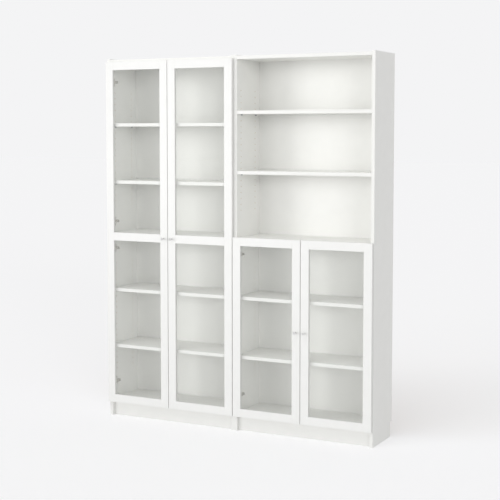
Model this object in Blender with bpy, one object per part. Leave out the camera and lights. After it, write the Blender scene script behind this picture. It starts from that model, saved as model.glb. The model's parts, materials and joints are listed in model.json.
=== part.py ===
"""A wide bookcase with glass doors, made of two board cabinets that stand side by side.

The left cabinet is closed by a pair of tall glazed doors, and the right one has a pair of low glazed doors with
open shelves above them. Boards, glued door frames, panes, knobs and the arms and links of the concealed hinges are
separate solids. The shelf pins are made with the side boards that hold them, and the hinge cups with the frames.

Metres, +Z up. The front faces -Y, and the origin is on the floor under the middle of the whole bookcase.
Inside a cabinet, u runs from one of its outer faces inwards, y from its front edge backwards and z up, so a
left-hand piece and its right-hand mirror image share every size.
"""

import math

import bmesh
import bpy
from mathutils import Matrix, Vector

# Cabinet
cabinet_width = 0.800
cabinet_depth = 0.280
cabinet_height = 2.020
cabinet_gap = 0.0003
board = 0.018
seat_gap = 0.0003
edge_round = 0.0008
overrun = 0.002

base_height = 0.082
plinth_recess = 0.020
skirting_notch_depth = 0.022
skirting_notch_height = 0.082
top_panel_drop = 0.005
fixed_shelf_top = 1.050

back_thickness = 0.003
back_inset = 0.010
back_groove_depth = 0.006

# Adjustable shelves and the pins that carry them
shelf_setback = 0.003
shelf_back_clearance = 0.004
shelf_end_clearance = 0.001
pin_row_pitch = 0.032
pin_hole_diameter = 0.005
pin_hole_depth = 0.009
pin_head_diameter = 0.006
pin_head_length = 0.009
pin_column_inset = 0.050
lower_first_row = 0.2597
upper_first_row = 0.2387
last_row_clearance = 0.290
lower_shelf_height_shares = (0.313, 0.656)
upper_shelf_height_shares = {"left": (0.286, 0.624), "right": (0.353, 0.691)}

# Doors
door_thickness = 0.018
door_gap = 0.002
door_side_reveal = 0.002
door_centre_gap = 0.004
tall_door_reveal = 0.018
low_door_rise = 0.002
stile_width = 0.046
rail_height = 0.045
mid_rail_height = 0.045
glass_thickness = 0.004
glass_setback = 0.010
glass_groove_depth = 0.005

# Knobs
knob_diameter = 0.015
knob_neck_diameter = 0.008
knob_base_diameter = 0.010
knob_projection = 0.022
knob_head_thickness = 0.010
knob_base_thickness = 0.003
knob_crown = 0.0015
knob_edge_round = 0.0012
knob_stud_diameter = 0.004
knob_stud_length = 0.010
knob_hole_clearance = 0.0005

# Concealed hinges
hinge_from_door_bottom = 0.113
hinge_below_fixed_shelf = 0.093
hinge_above_fixed_shelf = 0.060
hinge_from_door_top = 0.109
cup_diameter = 0.035
cup_depth = 0.0115
cup_edge_distance = 0.004
cup_floor = 0.0011
cup_wall = 0.0011
cup_flange_thickness = 0.001
cup_flange_width = 0.0015
cup_ear_thickness = 0.0007
cup_ear_length = 0.057
cup_ear_width = 0.012
cup_ear_offset = 0.0095
cup_pivot_depth = 0.004
cup_pin_diameter = 0.0022
link_width = 0.009
link_thickness = 0.0016
link_cup_eye_diameter = 0.0046
link_arm_eye_diameter = 0.0048
link_eye_clearance = 0.0005
link_mouth_rise = 0.0008
link_rim_rise = 0.0032
link_rim_near = 0.0022
link_rim_far = 0.006
link_nose_reach = 0.008
arm_pivot_standoff = 0.014
arm_pivot_setback = 0.007
arm_pin_diameter = 0.0024
arm_cheek = 0.0015
arm_cheek_gap = 0.0005
arm_web = 0.0015
arm_nose_radius = 0.0042
arm_fork_depth = 0.024
arm_length = 0.062
arm_tail_slope = 0.006
plate_thickness = 0.003
plate_setback = 0.030
plate_width = 0.014
plate_length = 0.052

# A door turns as its hinge links swing out of the cabinet, by a fixed share of its own turn on them
door_turn_on_links = 154.0
link_turn_share = 0.35

# Facets of the round pieces
fine_sides = 14
pin_sides = 8
hole_sides = 6
knob_sides = 12
eye_steps = 3
sharp_angle = 35.0

# Heights and places that follow from the sizes above
tall_door_height = cabinet_height - tall_door_reveal - base_height
low_door_height = fixed_shelf_top + low_door_rise - base_height
top_panel_underside = cabinet_height - top_panel_drop - board
bottom_panel_top = base_height + board
back_front = cabinet_depth - back_inset - back_thickness
door_width = (cabinet_width - 2 * door_side_reveal - door_centre_gap) / 2
door_back = -door_gap
door_front = door_back - door_thickness
door_bottom = base_height
front_reach = knob_projection - door_front
carcass_front = (front_reach - cabinet_depth) / 2
hinge_heights = {
    "low": (door_bottom + hinge_from_door_bottom, fixed_shelf_top - hinge_below_fixed_shelf),
    "tall": (
        door_bottom + hinge_from_door_bottom,
        fixed_shelf_top - hinge_below_fixed_shelf,
        fixed_shelf_top + hinge_above_fixed_shelf,
        door_bottom + tall_door_height - hinge_from_door_top,
    ),
}

# Hinge places in a left-hand door's own plan
cup_radius = cup_diameter / 2
cup_inner_radius = cup_radius - cup_wall
cup_centre = door_side_reveal + cup_edge_distance + cup_radius
cup_mouth_at_link = cup_centre - math.sqrt(cup_inner_radius**2 - (link_width / 2) ** 2)
cup_pivot = Vector((
    cup_mouth_at_link + link_cup_eye_diameter / 2 + link_eye_clearance,
    door_back - cup_pivot_depth,
))
arm_pivot = Vector((board + arm_pivot_standoff, arm_pivot_setback))


def clear_scene():
    """Removes whatever the scene starts with."""
    for obj in list(bpy.data.objects):
        bpy.data.objects.remove(obj, do_unlink=True)


def make_material(name, colour, roughness, metallic=0.0, alpha=1.0, transmission=0.0):
    """A plain Principled material in the piece's own colour."""
    material = bpy.data.materials.new(name)
    material.use_nodes = True
    shader = material.node_tree.nodes["Principled BSDF"]
    shader.inputs["Base Color"].default_value = (*colour, 1.0)
    shader.inputs["Roughness"].default_value = roughness
    shader.inputs["Metallic"].default_value = metallic
    shader.inputs["Alpha"].default_value = alpha
    shader.inputs["Transmission Weight"].default_value = transmission
    material.diffuse_color = (*colour, alpha)
    return material


def make_empty(name, parent, location):
    """A bare frame that carries pieces: a cabinet's corner or a pivot's axis."""
    empty = bpy.data.objects.new(name, None)
    bpy.context.scene.collection.objects.link(empty)
    empty.parent = parent
    empty.location = location
    return empty


class Seat:
    """Where left-hand pieces go: an empty at a point of the cabinet, and the hand that they are made for."""

    def __init__(self, cabinet, hand, origin=(0.0, 0.0, 0.0), name=None):
        self.hand = hand
        self.origin = Vector(origin)
        if name is None:
            self.empty = cabinet
            self.shift = 0.0 if hand > 0 else cabinet_width
        else:
            u = origin[0] if hand > 0 else cabinet_width - origin[0]
            self.empty = make_empty(name, cabinet, (u, origin[1], origin[2]))
            self.shift = 0.0


def place(bm, name, material, seat, at=(0.0, 0.0, 0.0)):
    """Turns a mesh built round the point at into an object on its seat, mirrored for a right-hand seat."""
    if seat.hand < 0:
        bmesh.ops.scale(bm, vec=(-1.0, 1.0, 1.0), verts=bm.verts)
        bmesh.ops.reverse_faces(bm, faces=bm.faces)
    mesh = bpy.data.meshes.new(name)
    bm.to_mesh(mesh)
    bm.free()
    mesh.materials.append(material)
    obj = bpy.data.objects.new(name, mesh)
    bpy.context.scene.collection.objects.link(obj)
    obj.parent = seat.empty
    offset = Vector(at) - seat.origin
    obj.location = (seat.shift + seat.hand * offset.x, offset.y, offset.z)
    return obj


def add_box(bm, low, high):
    """Adds a box between two corners."""
    low, high = Vector(low), Vector(high)
    made = bmesh.ops.create_cube(bm, size=1.0)
    bmesh.ops.scale(bm, vec=high - low, verts=made["verts"])
    bmesh.ops.translate(bm, vec=(low + high) / 2, verts=made["verts"])


def add_prism(bm, outline, low, high, axis="z"):
    """Adds an outline extruded from low to high along z, x or y; the outline names the other two axes in order."""
    order = {"z": (0, 1, 2), "x": (1, 2, 0), "y": (0, 2, 1)}[axis]
    corners = []
    for first, second in outline:
        point = [0.0, 0.0, 0.0]
        point[order[0]], point[order[1]], point[order[2]] = first, second, low
        corners.append(bm.verts.new(point))
    face = bm.faces.new(corners)
    shift = [0.0, 0.0, 0.0]
    shift[order[2]] = high - low
    grown = bmesh.ops.extrude_face_region(bm, geom=[face])
    moved = [item for item in grown["geom"] if isinstance(item, bmesh.types.BMVert)]
    bmesh.ops.translate(bm, vec=shift, verts=moved)
    new_faces = {f for v in corners + moved for f in v.link_faces}
    bmesh.ops.recalc_face_normals(bm, faces=list(new_faces))


def add_cylinder(bm, centre, radius, length, sides, axis="z"):
    """Adds a closed cylinder about a centre, with its flats square to the axes where sides allow."""
    turn = {
        "z": Matrix.Identity(4),
        "x": Matrix.Rotation(math.pi / 2, 4, "Y"),
        "y": Matrix.Rotation(math.pi / 2, 4, "X"),
    }[axis]
    half_step = Matrix.Rotation(math.pi / sides, 4, "Z")
    bmesh.ops.create_cone(
        bm, cap_ends=True, segments=sides, radius1=radius, radius2=radius, depth=length,
        matrix=Matrix.Translation(centre) @ turn @ half_step,
    )


def add_lathe(bm, profile, sides, centre, axis):
    """Spins a profile of (radius, height) points, given from one end of the axis to the other, into a closed body."""
    start = len(bm.verts)
    verts = [bm.verts.new((radius, 0.0, height)) for radius, height in profile]
    edges = [bm.edges.new(pair) for pair in zip(verts[:-1], verts[1:])]
    bmesh.ops.spin(
        bm, geom=verts + edges, cent=(0.0, 0.0, 0.0), axis=(0.0, 0.0, 1.0),
        angle=2 * math.pi, steps=sides, use_merge=True,
    )
    bm.verts.ensure_lookup_table()
    made = list(bm.verts)[start:]
    bmesh.ops.remove_doubles(bm, verts=made, dist=seat_gap / 10)
    bm.verts.ensure_lookup_table()
    made = list(bm.verts)[start:]
    bmesh.ops.recalc_face_normals(bm, faces=list({f for v in made for f in v.link_faces}))
    turn = {"x": Matrix.Rotation(math.pi / 2, 4, "Y"), "-y": Matrix.Rotation(math.pi / 2, 4, "X"),
            "y": Matrix.Rotation(-math.pi / 2, 4, "X")}[axis]
    bmesh.ops.transform(bm, matrix=Matrix.Translation(centre) @ turn, verts=made)


def soften(obj):
    """Breaks the sharp edges of a board with one small chamfer."""
    bevel = obj.modifiers.new("edge_round", "BEVEL")
    bevel.width = edge_round
    bevel.segments = 1
    bevel.limit_method = "ANGLE"


def make_cutter(bm, name, seat, at=(0.0, 0.0, 0.0)):
    """An object that only shapes another one."""
    cutter = place(bm, name, materials["steel"], seat, at)
    cutter.hide_render = True
    cutter.display_type = "WIRE"
    return cutter


def combine(obj, other, operation):
    """Cuts a shape out of an object or joins it on, as a live modifier."""
    boolean = obj.modifiers.new(other.name, "BOOLEAN")
    boolean.operation = operation
    boolean.object = other
    boolean.solver = "EXACT"


def finished_bmesh(obj, helpers):
    """The mesh that an object's modifiers give, after which the object and its helpers are removed."""
    bpy.context.view_layer.update()
    evaluated = obj.evaluated_get(bpy.context.evaluated_depsgraph_get())
    bm = bmesh.new()
    bm.from_mesh(evaluated.to_mesh())
    evaluated.to_mesh_clear()
    for used in [obj, *helpers]:
        bpy.data.objects.remove(used, do_unlink=True)
    return bm


def handed_meshes(bm, name, material):
    """A left-hand mesh and its right-hand mirror image, which every copy of a repeated piece shares."""
    meshes = {}
    for hand, word in ((1, "left"), (-1, "right")):
        if hand < 0:
            bmesh.ops.scale(bm, vec=(-1.0, 1.0, 1.0), verts=bm.verts)
            bmesh.ops.reverse_faces(bm, faces=bm.faces)
        meshes[hand] = bpy.data.meshes.new("%s_%s_hand" % (name, word))
        bm.to_mesh(meshes[hand])
        meshes[hand].materials.append(material)
    bm.free()
    return meshes


def place_copy(meshes, name, seat, at):
    """Sets a copy of a repeated piece on a seat."""
    obj = bpy.data.objects.new(name, meshes[seat.hand])
    bpy.context.scene.collection.objects.link(obj)
    obj.parent = seat.empty
    offset = Vector(at) - seat.origin
    obj.location = (seat.shift + seat.hand * offset.x, offset.y, offset.z)
    return obj


clear_scene()

materials = {
    "white_foil": make_material("white_foil", (0.86, 0.86, 0.84), 0.45),
    "back_board": make_material("back_board", (0.83, 0.84, 0.82), 0.55),
    "door_foil": make_material("door_foil", (0.87, 0.87, 0.85), 0.4),
    "glass": make_material("glass", (0.9, 0.95, 0.93), 0.02, alpha=0.3, transmission=1.0),
    "steel": make_material("steel", (0.62, 0.62, 0.61), 0.3, metallic=1.0),
    "knob_metal": make_material("knob_metal", (0.60, 0.61, 0.61), 0.35, metallic=1.0),
}


# Carcass boards

def pin_columns():
    """Distances from the front edge of the two columns of pin holes."""
    return pin_column_inset, back_front - pin_column_inset


def pin_rows(floor, ceiling, first_row):
    """Heights of the rows of pin holes in a compartment, from its first row up to a clearance below its ceiling."""
    room = ceiling - last_row_clearance - floor - first_row
    return [floor + first_row + pin_row_pitch * row for row in range(int(room / pin_row_pitch) + 1)]


def compartments(side):
    """Floor, ceiling, first row and shelf places of the lower and the upper compartment of a cabinet."""
    return (
        (bottom_panel_top, fixed_shelf_top - board, lower_first_row, lower_shelf_height_shares),
        (fixed_shelf_top, top_panel_underside, upper_first_row, upper_shelf_height_shares[side]),
    )


def shelf_rows(side):
    """The rows whose pins carry the adjustable shelves: in each compartment, those nearest the shelves' places."""
    chosen = []
    for floor, ceiling, first_row, shares in compartments(side):
        rows = pin_rows(floor, ceiling, first_row)
        for share in shares:
            wanted = floor + share * (ceiling - floor)
            chosen.append(min(rows, key=lambda row: abs(row - wanted)))
    return chosen


def make_side(name, seat, side):
    """A side board from floor to top, notched for the skirting, grooved for the back and drilled for the pins."""
    notch_y = cabinet_depth - skirting_notch_depth
    outline = [
        (0.0, 0.0), (notch_y, 0.0), (notch_y, skirting_notch_height), (cabinet_depth, skirting_notch_height),
        (cabinet_depth, cabinet_height), (0.0, cabinet_height),
    ]
    bm = bmesh.new()
    add_prism(bm, outline, 0.0, board, axis="x")
    panel = place(bm, name, materials["white_foil"], seat)
    soften(panel)

    pinned = shelf_rows(side)
    bm = bmesh.new()
    for height in pinned:
        for column in pin_columns():
            centre = (board + (pin_head_length - overrun) / 2, column, height)
            add_cylinder(bm, centre, pin_head_diameter / 2, pin_head_length + overrun, hole_sides, axis="x")
    combine(panel, make_cutter(bm, name + "_pins", seat), "UNION")

    bm = bmesh.new()
    add_box(
        bm,
        (board - back_groove_depth, back_front - seat_gap, base_height - overrun),
        (board + overrun, back_front + back_thickness + seat_gap, cabinet_height - top_panel_drop + seat_gap),
    )
    for floor, ceiling, first_row, _ in compartments(side):
        for height in pin_rows(floor, ceiling, first_row):
            if height in pinned:
                continue
            for column in pin_columns():
                centre = (board + (overrun - pin_hole_depth) / 2, column, height)
                add_cylinder(bm, centre, pin_hole_diameter / 2, pin_hole_depth + overrun, hole_sides, axis="x")
    combine(panel, make_cutter(bm, name + "_drilling", seat), "DIFFERENCE")
    return panel


def make_board(name, seat, low, high, material="white_foil"):
    """A flat board between two corners, with its own lowest corner as its origin."""
    bm = bmesh.new()
    add_box(bm, (0.0, 0.0, 0.0), Vector(high) - Vector(low))
    panel = place(bm, name, materials[material], seat, low)
    soften(panel)
    return panel


def make_carcass(side, cabinet):
    """The seven fixed boards of one cabinet."""
    name = side + "_cabinet_"
    left, right = Seat(cabinet, 1), Seat(cabinet, -1)
    make_side(name + "left_side", left, side)
    make_side(name + "right_side", right, side)
    inner_low = board + seat_gap
    inner_high = cabinet_width - board - seat_gap
    panel_back = back_front - seat_gap
    make_board(
        name + "bottom_panel", left,
        (inner_low, 0.0, base_height), (inner_high, panel_back, bottom_panel_top),
    )
    make_board(
        name + "fixed_shelf", left,
        (inner_low, 0.0, fixed_shelf_top - board), (inner_high, panel_back, fixed_shelf_top),
    )
    make_board(
        name + "top_panel", left,
        (inner_low, 0.0, top_panel_underside), (inner_high, panel_back, top_panel_underside + board),
    )
    make_board(
        name + "plinth", left,
        (inner_low, plinth_recess, 0.0), (inner_high, plinth_recess + board, base_height - seat_gap),
    )
    back_low = board - back_groove_depth + seat_gap
    bm = bmesh.new()
    back_size = (cabinet_width - 2 * back_low, back_thickness, top_panel_underside + board - base_height)
    add_box(bm, (0.0, 0.0, 0.0), back_size)
    place(bm, name + "back_panel", materials["back_board"], left, (back_low, back_front, base_height))


def make_shelves(side, cabinet):
    """The four adjustable shelves of one cabinet, each resting on its pins."""
    inner_low = board + shelf_end_clearance
    shelf_back = back_front - shelf_back_clearance
    for number, row in enumerate(shelf_rows(side), start=1):
        underside = row + pin_head_diameter / 2 + seat_gap
        make_board(
            "%s_cabinet_shelf_%d" % (side, number), Seat(cabinet, 1),
            (inner_low, shelf_setback, underside),
            (cabinet_width - inner_low, shelf_back, underside + board),
        )


# Concealed hinges

def turned(point, centre, degrees):
    """A plan point turned about a centre, anticlockwise seen from above."""
    angle = math.radians(degrees)
    d = Vector(point) - Vector(centre)
    return Vector((
        centre[0] + d.x * math.cos(angle) - d.y * math.sin(angle),
        centre[1] + d.x * math.sin(angle) + d.y * math.cos(angle),
    ))


def link_centre_line():
    """The bent link from the cup's pivot to the arm's.

    Its bends are set with the door wide open, when it must climb out of the cup, cross the rim in front of the
    door's edge and run back to the arm. They are then turned back to the closed door.
    """
    arm_open = turned(arm_pivot, cup_pivot, door_turn_on_links)
    over_rim = Vector((cup_pivot.x - link_rim_far, door_back + link_rim_rise))
    bends = [
        Vector((cup_pivot.x, door_back + link_mouth_rise)),
        Vector((cup_pivot.x - link_rim_near, over_rim.y - link_thickness / 3)),
        over_rim,
        Vector((arm_open.x + link_nose_reach, (over_rim.y + arm_open.y + link_thickness) / 2)),
    ]
    return [cup_pivot.copy()] + [turned(p, cup_pivot, -door_turn_on_links) for p in bends] + [arm_pivot.copy()]


def strip_outline(line, thickness, first_radius, last_radius):
    """The outline of a bent strip with a round eye on each end."""
    half = thickness / 2

    def arc(centre, radius, towards):
        direction = (towards - centre).normalized()
        heading = math.atan2(direction.y, direction.x)
        opening = math.asin(half / radius)
        steps = 2 * eye_steps
        sweep = 2 * math.pi - 2 * opening
        return [
            centre + radius * Vector((math.cos(heading + opening + sweep * i / steps),
                                      math.sin(heading + opening + sweep * i / steps)))
            for i in range(steps + 1)
        ]

    left, right = [], []
    for before, here, after in zip(line[:-2], line[1:-1], line[2:]):
        a, b = (here - before).normalized(), (after - here).normalized()
        bisector = Vector((-(a + b).y, (a + b).x)).normalized()
        reach = half / bisector.dot(Vector((-a.y, a.x)))
        left.append(here + bisector * reach)
        right.append(here - bisector * reach)
    first = arc(line[0], first_radius, line[1])
    last = arc(line[-1], last_radius, line[-2])
    return first + list(right) + last + list(reversed(left))


def slot_outline(centre, width, length):
    """A flat bar's outline with round ends, about a centre in two axes, with its length along the second."""
    half = width / 2
    reach = length / 2 - half
    outline = []
    for end in (1, -1):
        for step in range(eye_steps + 1):
            angle = math.pi * step / eye_steps + (0.0 if end > 0 else math.pi)
            outline.append((centre[0] + half * math.cos(angle), centre[1] + end * reach + half * math.sin(angle)))
    return outline


def make_link_meshes():
    """The bent link between a hinge's arm and its cup, about its pivot on the arm."""
    at = (arm_pivot.x, arm_pivot.y, 0.0)
    line = [point - arm_pivot for point in link_centre_line()]
    outline = strip_outline(line, link_thickness, link_cup_eye_diameter / 2, link_arm_eye_diameter / 2)
    seat = Seat(master_frame, 1)
    bm = bmesh.new()
    add_prism(bm, outline, -link_width / 2, link_width / 2)
    link = place(bm, "link_master", materials["steel"], seat, at)
    bm = bmesh.new()
    drill = link_width + 2 * overrun
    cup_hole = cup_pin_diameter / 2 + seat_gap
    arm_hole = arm_pin_diameter / 2 + seat_gap
    add_cylinder(bm, (cup_pivot.x, cup_pivot.y, 0.0), cup_hole, drill, pin_sides)
    add_cylinder(bm, at, arm_hole, drill, pin_sides)
    holes = make_cutter(bm, "link_holes", seat)
    combine(link, holes, "DIFFERENCE")
    return handed_meshes(finished_bmesh(link, [holes]), "hinge_link", materials["steel"])


def make_arm_meshes():
    """A hinge arm clipped on its mounting plate, with the pin that carries the link, about that pin."""
    at = Vector((arm_pivot.x, arm_pivot.y, 0.0))
    seat = Seat(master_frame, 1)
    foot = board + seat_gap
    cheek_inner = link_width / 2 + arm_cheek_gap
    cheek_outer = cheek_inner + arm_cheek
    top = arm_pivot.x + arm_nose_radius
    nose = [
        (arm_pivot.x + arm_nose_radius * math.cos(angle), arm_pivot.y + arm_nose_radius * math.sin(angle))
        for angle in (math.pi + math.pi * step / (2 * eye_steps) for step in range(2 * eye_steps + 1))
    ]
    outline = [(foot, arm_length), (foot, arm_fork_depth + arm_tail_slope / 2)]
    outline += [(arm_pivot.x - arm_nose_radius, arm_fork_depth - arm_tail_slope)]
    outline += nose + [(top, arm_length - arm_tail_slope), (top - arm_tail_slope, arm_length)]
    bm = bmesh.new()
    add_prism(bm, [(u - at.x, y - at.y) for u, y in outline], -cheek_outer, cheek_outer)
    arm = place(bm, "arm_master", materials["steel"], seat, at)

    bm = bmesh.new()
    front = arm_pivot.y - arm_nose_radius - overrun
    add_box(bm, (foot - overrun, front, -cheek_inner), (top - arm_web, arm_fork_depth, cheek_inner))
    fork = make_cutter(bm, "arm_fork", seat)
    combine(arm, fork, "DIFFERENCE")

    bm = bmesh.new()
    outline = slot_outline((plate_setback + plate_width / 2, 0.0), plate_width, plate_length)
    add_prism(bm, outline, foot, foot + plate_thickness, axis="x")
    plate = make_cutter(bm, "arm_plate", seat)
    combine(arm, plate, "UNION")

    bm = bmesh.new()
    add_cylinder(bm, at, arm_pin_diameter / 2, 2 * cheek_outer - arm_cheek, pin_sides)
    pin = make_cutter(bm, "arm_pin", seat)
    combine(arm, pin, "UNION")
    return handed_meshes(finished_bmesh(arm, [fork, plate, pin]), "hinge_arm", materials["steel"])


# Doors

def make_frame(name, seat, low, high, windows, heights, knob_at):
    """A glued door frame: windows, glass grooves, the knob's hole, and the hinge cups pressed into its back."""
    bm = bmesh.new()
    add_box(bm, (0.0, 0.0, 0.0), Vector(high) - Vector(low))
    frame = place(bm, name, materials["door_foil"], seat, low)
    pane_low, pane_high = low[0] + stile_width, high[0] - stile_width

    bm = bmesh.new()
    for bottom, top in windows:
        add_box(bm, (pane_low, door_front - overrun, bottom), (pane_high, door_back + overrun, top))
    combine(frame, make_cutter(bm, name + "_windows", seat), "DIFFERENCE")
    soften(frame)

    bm = bmesh.new()
    groove_front = door_front + glass_setback - seat_gap
    groove_back = door_front + glass_setback + glass_thickness + seat_gap
    for bottom, top in windows:
        add_box(
            bm,
            (pane_low - glass_groove_depth, groove_front, bottom - glass_groove_depth),
            (pane_high + glass_groove_depth, groove_back, top + glass_groove_depth),
        )
    hole_length = knob_stud_length + knob_hole_clearance + overrun
    centre = (knob_at[0], door_front - overrun + hole_length / 2, knob_at[1])
    add_cylinder(bm, centre, knob_stud_diameter / 2 + knob_hole_clearance, hole_length, pin_sides, axis="y")
    combine(frame, make_cutter(bm, name + "_grooves", seat), "DIFFERENCE")

    rim = door_back + cup_flange_thickness
    root = door_back - cup_floor
    bm = bmesh.new()
    for z in heights:
        centre = (cup_centre, (root + rim) / 2, z)
        add_cylinder(bm, centre, cup_radius + cup_flange_width, rim - root, fine_sides, axis="y")
    combine(frame, make_cutter(bm, name + "_cup_flanges", seat), "UNION")

    bm = bmesh.new()
    for z in heights:
        outline = slot_outline((cup_centre + cup_ear_offset, z), cup_ear_width, cup_ear_length)
        add_prism(bm, outline, door_back - cup_floor / 2, door_back + cup_ear_thickness, axis="y")
    combine(frame, make_cutter(bm, name + "_cup_ears", seat), "UNION")

    bm = bmesh.new()
    floor = door_back - cup_depth + cup_floor
    for z in heights:
        centre = (cup_centre, (floor + rim + overrun) / 2, z)
        add_cylinder(bm, centre, cup_inner_radius, rim + overrun - floor, fine_sides, axis="y")
    combine(frame, make_cutter(bm, name + "_cup_cavities", seat), "DIFFERENCE")

    bm = bmesh.new()
    pin_reach = math.sqrt(cup_radius**2 - (cup_centre - cup_pivot.x) ** 2)
    for z in heights:
        add_cylinder(bm, (cup_pivot.x, cup_pivot.y, z), cup_pin_diameter / 2, 2 * pin_reach, pin_sides)
    combine(frame, make_cutter(bm, name + "_cup_pins", seat), "UNION")
    return frame


def make_pane(name, seat, low_u, high_u, z_low, z_high):
    """A glass pane whose four edges stand in the grooves of the frame."""
    held = glass_groove_depth - seat_gap
    low = (low_u - held, door_front + glass_setback, z_low - held)
    high = (high_u + held, door_front + glass_setback + glass_thickness, z_high + held)
    bm = bmesh.new()
    add_box(bm, (0.0, 0.0, 0.0), Vector(high) - Vector(low))
    return place(bm, name, materials["glass"], seat, low)


def knob_profile():
    """Radius against distance along the knob, from the end of its stud to the crown."""
    stud, neck, base = knob_stud_diameter / 2, knob_neck_diameter / 2, knob_base_diameter / 2
    head = knob_diameter / 2
    under = knob_projection - knob_head_thickness
    return [
        (0.0, -knob_stud_length), (stud, -knob_stud_length), (stud, seat_gap), (base, seat_gap),
        (base, knob_base_thickness / 2), (neck, knob_base_thickness), (neck, under),
        (head - knob_edge_round / 2, under + knob_edge_round / 2), (head, under + 2 * knob_edge_round),
        (head, knob_projection - knob_crown - knob_edge_round), (head - knob_edge_round, knob_projection - knob_crown),
        (head / 2, knob_projection - knob_crown / 4), (0.0, knob_projection),
    ]


def make_knob(name, seat, at_u, height):
    """A small turned metal knob with a stud in the frame."""
    bm = bmesh.new()
    add_lathe(bm, knob_profile(), knob_sides, (0.0, 0.0, 0.0), "-y")
    knob = place(bm, name, materials["knob_metal"], seat, (at_u, door_front, height))
    for polygon in knob.data.polygons:
        polygon.use_smooth = True
    knob.data.set_sharp_from_angle(angle=math.radians(sharp_angle))
    return knob


def make_door(kind, hand_name, cabinet, hand, arm_meshes, link_meshes):
    """A glazed door, tall with a mid rail or low with one pane, and the arms and links that carry it."""
    name = "%s_%s_" % (kind, hand_name)
    height = tall_door_height if kind == "tall" else low_door_height
    z_low, z_high = door_bottom, door_bottom + height
    carcass = Seat(cabinet, hand)
    links = Seat(cabinet, hand, (arm_pivot.x, arm_pivot.y, 0.0), name + "arm_axis")
    door = Seat(cabinet, hand, (cup_pivot.x, cup_pivot.y, 0.0), name + "cup_axis")
    low_u, high_u = door_side_reveal, door_side_reveal + door_width
    knob_u = high_u - stile_width / 2
    heights = hinge_heights[kind]
    if kind == "tall":
        mid_low = fixed_shelf_top - mid_rail_height
        knob_height = mid_low + mid_rail_height / 2
        panes = {"lower_glass": (z_low + rail_height, mid_low),
                 "upper_glass": (fixed_shelf_top, z_high - rail_height)}
    else:
        knob_height = (z_low + z_high) / 2
        panes = {"glass": (z_low + rail_height, z_high - rail_height)}
    make_frame(
        name + "door_frame", door, (low_u, door_front, z_low), (high_u, door_back, z_high),
        list(panes.values()), heights, (knob_u, knob_height),
    )
    for pane, (bottom, top) in panes.items():
        make_pane(name + "door_" + pane, door, low_u + stile_width, high_u - stile_width, bottom, top)
    make_knob(name + "door_knob", door, knob_u, knob_height)
    for number, z in enumerate(heights, start=1):
        pivot = (arm_pivot.x, arm_pivot.y, z)
        place_copy(arm_meshes, name + "hinge_arm_%d" % number, carcass, pivot)
        place_copy(link_meshes, name + "hinge_link_%d" % number, links, pivot)
    return door, links


# Assembly

bookcase = make_empty("bookcase", None, (0.0, carcass_front, 0.0))
master_frame = make_empty("master_frame", None, (0.0, 0.0, 0.0))
cabinets = {
    "left": make_empty("left_cabinet", bookcase, (-cabinet_width - cabinet_gap / 2, 0.0, 0.0)),
    "right": make_empty("right_cabinet", bookcase, (cabinet_gap / 2, 0.0, 0.0)),
}
for side, cabinet in cabinets.items():
    make_carcass(side, cabinet)
    make_shelves(side, cabinet)

arm_meshes = make_arm_meshes()
link_meshes = make_link_meshes()
axes = {}
for kind, side in (("tall", "left"), ("low", "right")):
    for hand_name, hand in (("left", 1), ("right", -1)):
        axes[kind, hand_name] = make_door(kind, hand_name, cabinets[side], hand, arm_meshes, link_meshes)
bpy.data.objects.remove(master_frame, do_unlink=True)

bpy.context.view_layer.update()
for (kind, hand_name), (door, links) in axes.items():
    print(kind, hand_name, "door turns on its links at", [round(v, 5) for v in door.empty.matrix_world.translation],
          "and they turn on the arms at", [round(v, 5) for v in links.empty.matrix_world.translation])
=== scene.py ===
# %% [markdown]
# # A white bookcase with glass doors
#
# Two flat-pack cabinets stand side by side. The left one is closed by tall framed glass doors, the right one has low
# glass doors and open shelves above them. This lesson dresses a plain model of it: every board, door frame and hinge
# gets its real edges, holes and finish, and then a camera and a soft studio light like the photograph's.
#
# The plain model comes first, as a fixed frame. Its boards are in metres, the front faces -Y and the floor is at
# height 0. Each new piece takes its place from the box of the plain piece that it stands for.

# %% The plain model
import json
import math

import bmesh
import bpy
import numpy as np
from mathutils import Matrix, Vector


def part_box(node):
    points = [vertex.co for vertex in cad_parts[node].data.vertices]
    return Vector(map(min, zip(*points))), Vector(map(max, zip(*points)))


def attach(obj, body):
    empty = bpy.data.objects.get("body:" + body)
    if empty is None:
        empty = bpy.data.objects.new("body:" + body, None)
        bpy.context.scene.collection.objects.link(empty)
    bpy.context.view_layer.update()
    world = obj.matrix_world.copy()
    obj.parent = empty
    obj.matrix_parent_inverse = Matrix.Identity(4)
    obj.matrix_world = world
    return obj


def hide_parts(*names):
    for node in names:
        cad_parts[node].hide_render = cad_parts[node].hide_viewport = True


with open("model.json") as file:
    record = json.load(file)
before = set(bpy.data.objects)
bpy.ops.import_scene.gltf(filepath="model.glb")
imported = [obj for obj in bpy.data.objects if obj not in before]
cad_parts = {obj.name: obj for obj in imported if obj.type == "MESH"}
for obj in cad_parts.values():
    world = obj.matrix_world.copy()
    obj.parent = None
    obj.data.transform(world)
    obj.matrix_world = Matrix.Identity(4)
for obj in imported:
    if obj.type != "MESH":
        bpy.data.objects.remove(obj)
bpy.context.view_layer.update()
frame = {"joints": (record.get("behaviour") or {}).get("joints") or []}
MM = 0.001
HAIR = 0.1 * MM  # the gap left between turned parts and what they stand in or on


def corners(node):
    """Lowest and highest corner of a plain piece, as arrays."""
    low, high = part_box(node)
    return np.array(low), np.array(high)


# %% [markdown]
# ## Surfaces from formulas
#
# Furniture boards look like boxes, but no real edge is sharp: the foil is wrapped over a small round, and that round
# catches the light. A formula gives the same rounding on every board and says what it is: a ball whose eight octants
# are pulled apart to the board's corners. The seams between them open into the flat faces.

# %% Grids of faces
EDGE_STEPS = 3


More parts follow.
